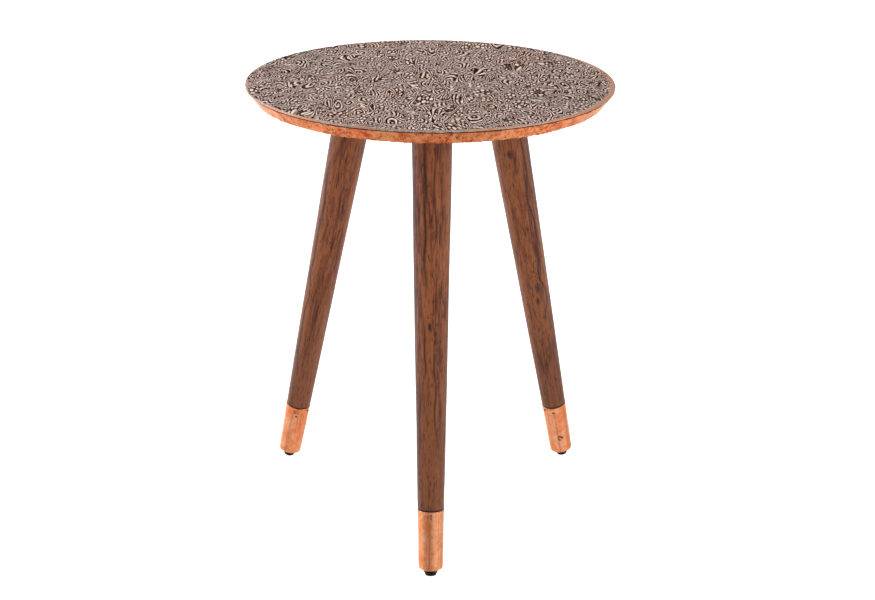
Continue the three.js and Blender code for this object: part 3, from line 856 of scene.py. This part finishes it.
def bolt_piece(side, matrix):
    """A hanger bolt: machine thread above the leg's end, wood thread and a point inside it."""
    bottom, top = LEG_TOP - BOLT_BELOW, LEG_TOP + BOLT_ABOVE
    outline = stretch([(0, bottom), (BOLT_RADIUS, bottom + 2 * BOLT_TIP_RADIUS),
                       (BOLT_RADIUS, LEG_TOP - 6 * MM), (BOLT_RADIUS, LEG_TOP - 1 * MM),
                       (BOLT_RADIUS, top - (BOLT_RADIUS - BOLT_TIP_RADIUS)),
                       (BOLT_TIP_RADIUS, top), (0, top)], 0.16 * MM)
    bolt = Turned(outline, AROUND["bolt"])
    threaded(bolt, bottom, LEG_TOP - 5 * MM, BOLT_RADIUS, *WOOD_THREAD)
    threaded(bolt, LEG_TOP - 2 * MM, top + 2 * MM, BOLT_RADIUS, *MACHINE_THREAD)
    return bolt.build(f"threaded_bolt_{side}", STEEL, matrix)


def washer_piece(side, matrix):
    """A stamped washer, with all of its edges rounded."""
    bottom, top, bore = LEG_TOP + GAP, LEG_TOP + GAP + WASHER_THICKNESS, BOLT_RADIUS + GAP
    middle = (bore, bottom + 0.8 * MM)
    corners = [middle, (bore, bottom), (WASHER_RADIUS, bottom), (WASHER_RADIUS, top),
               (bore, top), middle]
    washer = Turned(soften(corners, 0.3 * MM, 3)[:-1], AROUND["washer"])
    return washer.build(f"flat_washer_{side}", STEEL, matrix)


# ---- a leg

def leg_frame(side):
    """The leg's own frame: on the middle of its tread, Z up the leg, X away from the table."""
    turn = next(row for row in frame["joints"] if row["name"] == f"leg_{side}_turn")
    foot = Vector(turn["pos_m"])
    up = -Vector(turn["axis"])
    outward = Vector((foot.x, foot.y, 0))
    outward = (outward - up * outward.dot(up)).normalized()
    matrix = Matrix((outward, up.cross(outward), up)).transposed().to_4x4()
    matrix.translation = foot
    return matrix


def leg_radius(along):
    share = (along - FERRULE_SHOULDER) / (LEG_TOP - FERRULE_SHOULDER)
    return LEG_FOOT_RADIUS + (LEG_TOP_RADIUS - LEG_FOOT_RADIUS) * share


def grain_of(points, side):
    """Coordinates in the wood that the legs are cut from, each turned its own way."""
    billet = np.array([0, 0, BILLET_SPACING * SIDES.index(side)])
    return place(points, turn_z(GRAIN_TURN[side])) + billet


def marks_on(side, marks):
    return [mark[1:] for mark in marks if mark[0] == side]


def leg_piece(side, matrix):
    """The turned wood: a taper with a fine hand-sanded unevenness, and a tenon for the ferrule."""
    clear = COPPER + GAP
    tenon_bottom, tenon_top = FERRULE_BOTTOM + clear, FERRULE_TOP + GAP
    shoulder = FERRULE_SHOULDER + 0.4 * clear
    bore, bore_bottom = BOLT_RADIUS + GAP, LEG_TOP - BOLT_BELOW - GAP
    body = [(leg_radius(tenon_top) - clear, tenon_top), (leg_radius(tenon_top), tenon_top),
            (leg_radius(LEG_TOP - LEG_EDGE), LEG_TOP - LEG_EDGE),
            (LEG_TOP_RADIUS - LEG_EDGE, LEG_TOP), (bore, LEG_TOP)]
    outline = [(0, tenon_bottom), (FERRULE_TIP_RADIUS - 0.4 * clear, tenon_bottom),
               (leg_radius(shoulder) - clear, shoulder)]
    outline += stretch(soften(body, 0.6 * MM), 1.7 * MM) + [(bore, bore_bottom), (0, bore_bottom)]
    leg = Turned(outline, AROUND["leg"])
    seed = GRAIN_TURN[side] % 7
    on_taper = leg.radius > leg_radius(leg.height) - 0.5 * MM
    along = leg.grid() * np.array([1, 1, 0.12])
    uneven = 0.09 * smooth_noise(along, 15 * MM, seed) + 0.03 * smooth_noise(along, 4 * MM, seed + 1)
    near_ferrule = ease(leg.height, FERRULE_TOP, FERRULE_TOP + 12 * MM)
    leg.radius = leg.radius + uneven * MM * on_taper * near_ferrule

    knot = np.zeros(leg.radius.shape)
    for height, direction, size in marks_on(side, KNOTS):
        around = leg.away(math.radians(direction))
        distance = np.hypot(around, (leg.height - height * MM) * 0.45)
        knot = np.maximum(knot, bell(distance, size * MM))

    # A dark line where the wood meets the ferrule, painted shade towards the foot, and single dark
    # veins.
    vein_and_shade = 1.2 * bell(leg.height - tenon_top, 1.3 * MM)
    # painted shade: the wood is darkened towards the foot
    vein_and_shade += 0.34 * (1 - ease(leg.height, 80 * MM, 330 * MM))
    for start, end, direction, size in marks_on(side, VEINS):
        sway = 1.8 * MM * smooth_noise(leg.height[..., None], 70 * MM, start + end)
        around = leg.away(math.radians(direction)) + sway
        swell = ease(leg.height, start * MM, (start + 40) * MM)
        fade = 1 - ease(leg.height, (end - 40) * MM, end * MM)
        vein_and_shade = np.maximum(vein_and_shade, swell * fade * bell(around, size * MM))
    values = {"grain": grain_of(leg.points(), side), "knot": leg.flat(knot), "vein_and_shade": leg.flat(vein_and_shade)}
    return leg.build(f"turned_leg_{side}", WALNUT, matrix, values)


def ferrule_piece(side, matrix):
    """A drawn copper cup with a rolled rim, a chamfered foot, and small dents and creases.
    The push is how far the metal stands out, in mm."""
    mitre = 0.4 * COPPER
    top = leg_radius(FERRULE_TOP)
    outer = [(FERRULE_HOLE, FERRULE_BOTTOM), (FERRULE_TIP_RADIUS, FERRULE_BOTTOM),
             (LEG_FOOT_RADIUS, FERRULE_SHOULDER), (top, FERRULE_TOP), (top - COPPER, FERRULE_TOP)]
    outer = stretch(soften(outer, 0.5 * MM, 4), 0.8 * MM)
    inner = [(LEG_FOOT_RADIUS - COPPER, FERRULE_SHOULDER + mitre),
             (FERRULE_TIP_RADIUS - mitre, FERRULE_BOTTOM + COPPER),
             (FERRULE_HOLE, FERRULE_BOTTOM + COPPER)]
    cup = Turned(outer + inner, AROUND["ferrule"])
    rows = np.arange(len(cup.outline))[:, None]
    outside = (rows < len(outer) - 2) * ease(cup.radius, 4 * MM, 7 * MM)
    where = cup.grid()
    seed = GRAIN_TURN[side] % 11
    rng = np.random.default_rng(seed)
    push = 0.05 * smooth_noise(where * np.array([1, 1, 0.3]), 9 * MM, seed)
    push += 0.025 * smooth_noise(where, 4 * MM, seed + 1)
    for _ in range(FERRULE_DENTS):
        direction = rng.uniform(0, TURN)
        height = rng.uniform(FERRULE_BOTTOM, FERRULE_TOP)
        size = rng.uniform(0.8, 2.6) * MM
        distance = np.hypot(cup.away(direction), cup.height - height)
        push -= rng.uniform(0.05, 0.16) * bell(distance, size)
    grime_and_shading = np.zeros(cup.radius.shape)
    for _ in range(FERRULE_CREASES):
        direction = rng.uniform(0, TURN)
        height = rng.uniform(FERRULE_BOTTOM + 8 * MM, FERRULE_TOP - 6 * MM)
        slant = rng.uniform(-0.5, 0.5)
        around = cup.away(direction) - slant * (cup.height - height)
        crease = bell(around, 0.35 * MM) * bell(cup.height - height, 3.5 * MM)
        push -= 0.10 * crease
        grime_and_shading = np.maximum(grime_and_shading, 0.45 * crease)

    # The rolled rim with a painted highlight along it, the groove under it, and the chamfer's polished
    # edge.
    rim = bell(cup.height - FERRULE_TOP + 1.1 * MM, 1.0 * MM)
    groove = bell(cup.height - FERRULE_TOP + 2.5 * MM, 0.4 * MM)
    push += 0.4 * rim - 0.14 * groove
    # painted highlight: the rolled rim is brightened towards the polished colour
    grime_and_shading -= 0.9 * rim
    grime_and_shading += 0.8 * groove * ease(smooth_noise(where, 8 * MM, seed + 2), -0.9, 0.5)
    grime_and_shading -= 0.6 * bell(cup.height - FERRULE_SHOULDER, 0.8 * MM)
    for drop, direction, size in marks_on(side, STAINS):
        around = cup.away(math.radians(direction))
        distance = np.hypot(around, (cup.height - FERRULE_TOP + drop * MM) * 1.3)
        ragged = 1 + 0.35 * smooth_noise(where, 3.5 * MM, seed + 3)
        grime_and_shading = np.maximum(grime_and_shading, 0.72 * bell(distance, size * MM) * ragged)
    for facing in (0, TURN / 2):
        from_pin = np.hypot(cup.away(facing), cup.height - PIN_HEIGHT)
        push -= 0.12 * bell(from_pin, 1.7 * MM)
        grime_and_shading = np.maximum(grime_and_shading, 0.95 * (1 - ease(from_pin, 0.9 * MM, 1.5 * MM)))
    cup.radius = cup.radius + push * outside * MM
    values = {"grain": grain_of(cup.points(), side), "grime_and_shading": cup.flat(grime_and_shading * outside)}
    return cup.build(f"copper_ferrule_{side}", FERRULE_COPPER, matrix, values, sharp=60)


def glide_piece(side, matrix):
    """A moulded disc with a thin flange, a rounded tread and a shallow ring moulded into it."""
    recess, well = 4.0 * MM, 3.5 * MM
    tread = [(0, 0), (3.2 * MM, 0), (3.5 * MM, 0.25 * MM), (3.9 * MM, 0.25 * MM), (4.2 * MM, 0)]
    wall = soften([(GLIDE_TREAD_RADIUS, GLIDE_ROUNDING), (GLIDE_TREAD_RADIUS + 0.9 * MM, 3.9 * MM),
                   (GLIDE_TOP_RADIUS, GLIDE_HEIGHT - GLIDE_FLANGE), (GLIDE_TOP_RADIUS, GLIDE_HEIGHT),
                   (well, GLIDE_HEIGHT), (well, recess), (0, recess)], 0.25 * MM)
    centre = (GLIDE_TREAD_RADIUS - GLIDE_ROUNDING, GLIDE_ROUNDING)
    glide = Turned(tread + arc(centre, GLIDE_ROUNDING, -90, 0, 6) + wall[1:], AROUND["glide"])
    return glide.build(f"foot_glide_{side}", NYLON, matrix)


# ---- a leg's plate

def rounded_square(angle, half, corner):
    """How far a rounded square's edge is from its middle in each direction."""
    folded = np.abs(np.remainder(angle + TURN / 8, TURN / 4) - TURN / 8)
    reach = half - corner
    lean = TURN / 8 - folded
    diagonal = reach * math.sqrt(2)
    beyond = np.sqrt(np.maximum(corner ** 2 - (diagonal * np.sin(lean)) ** 2, 0))
    return np.where(half * np.tan(folded) > reach, diagonal * np.cos(lean) + beyond,
                    half / np.cos(folded))


def plate_piece(side, matrix):
    """A pressed plate round a boss whose face is square to the leg. Made of rings that go
    from the bore out over the boss and the plate's lower face, and back over its upper face."""
    around = AROUND["plate"]
    angle = np.arange(around) * TURN / around
    lean = np.array(turn_y(-SPLAY))[:3, :3]
    boss_face = -(CORE_ALONG - LEG_TOP - WASHER_THICKNESS - 2 * GAP)
    lower, upper = -PLATE_THICKNESS - GAP, -GAP
    bore = BOLT_RADIUS + GAP

    def square_to_leg(radius, height):
        """A circle about the leg's axis and square to it."""
        return polar(radius, angle, height) @ lean.T

    def on_level(radius, level):
        """Where a cylinder about the leg's axis meets a level."""
        circle = square_to_leg(radius, 0)
        along = (level - circle[:, 2]) / lean[2, 2]
        return circle + along[:, None] * lean[:, 2]

    def square(inset, level):
        reach = rounded_square(angle, PLATE_SIDE / 2 - inset, max(PLATE_CORNER - inset, 1 * MM))
        return polar(reach, angle, level)

    edge, nick = PLATE_BEVEL, 0.4 * MM
    rings = [square_to_leg(bore, boss_face + nick), square_to_leg(bore + nick, boss_face),
             square_to_leg(BOSS_RADIUS - edge, boss_face), square_to_leg(BOSS_RADIUS, boss_face + edge)]
    rings += [on_level(BOSS_RADIUS + out * MM, lower - down * MM)
              for out, down in ((0.1, 0.8), (0.4, 0.3), (1.2, 0))]
    rings += [square(edge, lower), square(0.15 * MM, lower + 0.15 * MM), square(0, lower + edge),
              square(0, upper - edge), square(edge, upper), on_level(bore, upper)]
    faces = tube_faces(len(rings), around, closed=True)
    points = place(np.vstack(rings), matrix)
    return make_mesh(f"pressed_plate_{side}", points, faces, STEEL, sharp=30)


# ---- putting together

def stands_for(piece, node, body):
    """Puts a piece in a CAD node's place, on that node's body."""
    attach(piece, body)
    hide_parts(node)


def build_top():
    stands_for(sheet_piece(), "top_sheet", "top")
    stands_for(band_piece(), "edge_band", "top")
    core = frame["nodes"]["top_core"]
    core.data.materials.clear()
    core.data.materials.append(BOARD)
    to_hem = move((RIM_BOTTOM_RADIUS + HEM_INNER_RADIUS) / 2, 0, HEM_BOTTOM - GAP)
    for tack in range(HEM_TACKS):
        matrix = turn_z(360 * (tack + 0.5) / HEM_TACKS) @ to_hem
        piece = nail_piece(f"round_tack_{tack + 1}", matrix, TACK, PIN_COPPER, tack)
        stands_for(piece, f"hem_tack_{tack + 1}", "top")
    to_band = move((COLLAR_RADIUS + RIM_BOTTOM_RADIUS) / 2, 0, (COLLAR_BOTTOM + HEM_BOTTOM) / 2)
    into_band = turn_y(BAND_LEAN - TURN / 4) @ move(0, 0, -GAP)
    for pin, spacing in enumerate(SEAM_PIN_SPACING):
        matrix = turn_z(SEAM_DIRECTION + spacing) @ to_band @ into_band
        piece = nail_piece(f"seam_pin_{pin + 1}", matrix, PIN, PIN_COPPER, 20 + pin)
        stands_for(piece, f"band_pin_{pin + 1}", "top")


def build_seat(side, matrix):
    """The plate and its screws, in a frame at the leg's seat that only turns about Z."""
    seat = matrix @ Vector((0, 0, CORE_ALONG))
    facing = math.degrees(math.atan2(seat.y, seat.x))
    at_seat = move(*seat) @ turn_z(facing)
    stands_for(plate_piece(side, at_seat), f"leg_plate_{side}", "top")
    for corner in range(4):
        x = PLATE_SCREW_OFFSET * (1 if corner < 2 else -1)
        y = PLATE_SCREW_OFFSET * (1 if corner % 2 else -1)
        at_corner = at_seat @ move(x, y, -PLATE_THICKNESS - 2 * GAP)
        slot_turn = 37 * corner + 11 * len(side)        # degrees, unlike its neighbours'
        screw = screw_piece(f"cross_screw_{side}_{corner + 1}", at_corner, slot_turn)
        stands_for(screw, f"plate_screw_{side}_{corner + 1}", "top")


def build_leg(side, matrix):
    body = f"leg_{side}"
    for make, node, slot in ((leg_piece, "leg", "walnut"), (ferrule_piece, "ferrule", "copper"),
                             (glide_piece, "glide", "glide"), (bolt_piece, "hanger_bolt", "steel")):
        stands_for(make(side, matrix), f"{node}_{side}", body)
    stands_for(washer_piece(side, matrix), f"washer_{side}", f"washer_{side}")
    at_glide = matrix @ move(0, 0, GLIDE_HEIGHT - GAP)
    nail = nail_piece(f"foot_nail_{side}", at_glide, NAIL, STEEL, 40)
    stands_for(nail, f"glide_nail_{side}", body)
    into_ferrule = move(leg_radius(PIN_HEIGHT) + GAP, 0, PIN_HEIGHT) @ turn_y(-TURN / 4)
    for pin in range(2):
        at_edge = matrix @ turn_z(180 * pin) @ into_ferrule
        piece = nail_piece(f"copper_pin_{side}_{pin + 1}", at_edge, PIN, PIN_COPPER, 50 + pin)
        stands_for(piece, f"ferrule_pin_{side}_{pin + 1}", body)


# ---- studio

TABLE_TURNED = -1.284            # degrees that the table is turned under the camera
CAMERA_BACK = 1.794
CAMERA_HEIGHT = 0.9458
CAMERA_DOWN = 21.359             # pitch, yaw and roll in degrees
CAMERA_ASIDE = 0.319
CAMERA_ROLL = 0.559
LENS = 69.48                     # mm
SENSOR_WIDTH = 36                # mm
FLOOR_REACH = 30                 # metres, out from the table

STUDIO_WALLS = ((150, 40, 0.62), (-30, 22, 0.50), (80, 40, 0.62))   # direction, half width, light
WALL_FADE = (30, -12)            # degrees past a wall's end where its light starts and is full
DIM_LIGHT = 0.52
# The ceiling, the floor, and the floor under the table: how far up or down each light starts
# and is full, and how strong it is.
LEVEL_LIGHTS = ((0.45, 0.85, 0.6), (-0.35, -0.65, 0.95), (-0.82, -0.97, 0.62))


def build_camera():
    data = bpy.data.cameras.new("camera")
    data.sensor_width = SENSOR_WIDTH
    data.lens = LENS
    camera = add_object("camera", data)
    aim = (turn_z(-CAMERA_ASIDE) @ Matrix.Rotation(math.radians(90 - CAMERA_DOWN), 4, "X")
           @ turn_z(CAMERA_ROLL))
    camera.matrix_world = turn_z(TABLE_TURNED) @ move(0, -CAMERA_BACK, CAMERA_HEIGHT) @ aim
    bpy.context.scene.camera = camera


def build_floor():
    far = FLOOR_REACH
    corners = [(-far, -far, 0), (far, -far, 0), (far, far, 0), (-far, far, 0)]
    floor = make_mesh("studio_floor", corners, [(0, 1, 2, 3)], floor_material())
    floor.visible_diffuse = False
    floor.visible_glossy = False
    floor.visible_shadow = False


def softbox(name, location, aim, width, height, power):
    data = bpy.data.lights.new(name, "AREA")
    data.shape = "RECTANGLE"
    data.size = width
    data.size_y = height
    data.energy = power
    lamp = add_object(name, data)
    lamp.location = location
    lamp.rotation_euler = (Vector(aim) - Vector(location)).to_track_quat("-Z", "Y").to_euler()
    lamp.visible_camera = False


def build_world():
    """Soft light from white walls on the left, at the right front and behind, from the
    ceiling and from the floor, which is less bright under the table. Elsewhere it is dim."""
    scene = bpy.context.scene
    scene.view_settings.view_transform = "Standard"
    scene.world = bpy.data.worlds.new("studio")
    scene.world.use_nodes = True
    nodes = Nodes(scene.world.node_tree)
    facing = nodes.node("ShaderNodeTexCoord").outputs["Generated"]
    level = nodes.vector_maths("MULTIPLY", facing, (1, 1, 0))["Vector"]
    level = nodes.vector_maths("NORMALIZE", level)["Vector"]
    light = DIM_LIGHT
    for direction, half_width, strength in STUDIO_WALLS:
        angle = math.radians(direction)
        towards = (math.cos(angle), math.sin(angle), 0)
        match = nodes.vector_maths("DOT_PRODUCT", level, towards)["Value"]
        low, high = (math.cos(math.radians(half_width + fade)) for fade in WALL_FADE)
        light = nodes.add(light, nodes.remap(match, low, high, 0, strength))
    height = nodes.node("ShaderNodeSeparateXYZ", {"Vector": facing}).outputs[2]
    for start, end, strength in LEVEL_LIGHTS:
        change = nodes.maths("SUBTRACT", strength, light)
        light = nodes.add(light, nodes.times(nodes.remap(height, start, end), change))
    background = nodes.tree.nodes["Background"]
    nodes.feed(background.inputs["Strength"], light)
    background.inputs["Color"].default_value = (1, 1, 1, 1)


def build_lights():
    softbox("overhead", (-0.6, -0.4, 2.9), (0, 0, 0.3), width=1.6, height=1.6, power=5)
    softbox("left_wall", (-2.3, 0.5, 1.1), (0, 0, 0.4), width=0.8, height=2.0, power=10)


build_camera()
build_top()
for side in SIDES:
    standing = leg_frame(side)
    build_seat(side, standing)
    build_leg(side, standing)
build_floor()
build_world()
build_lights()
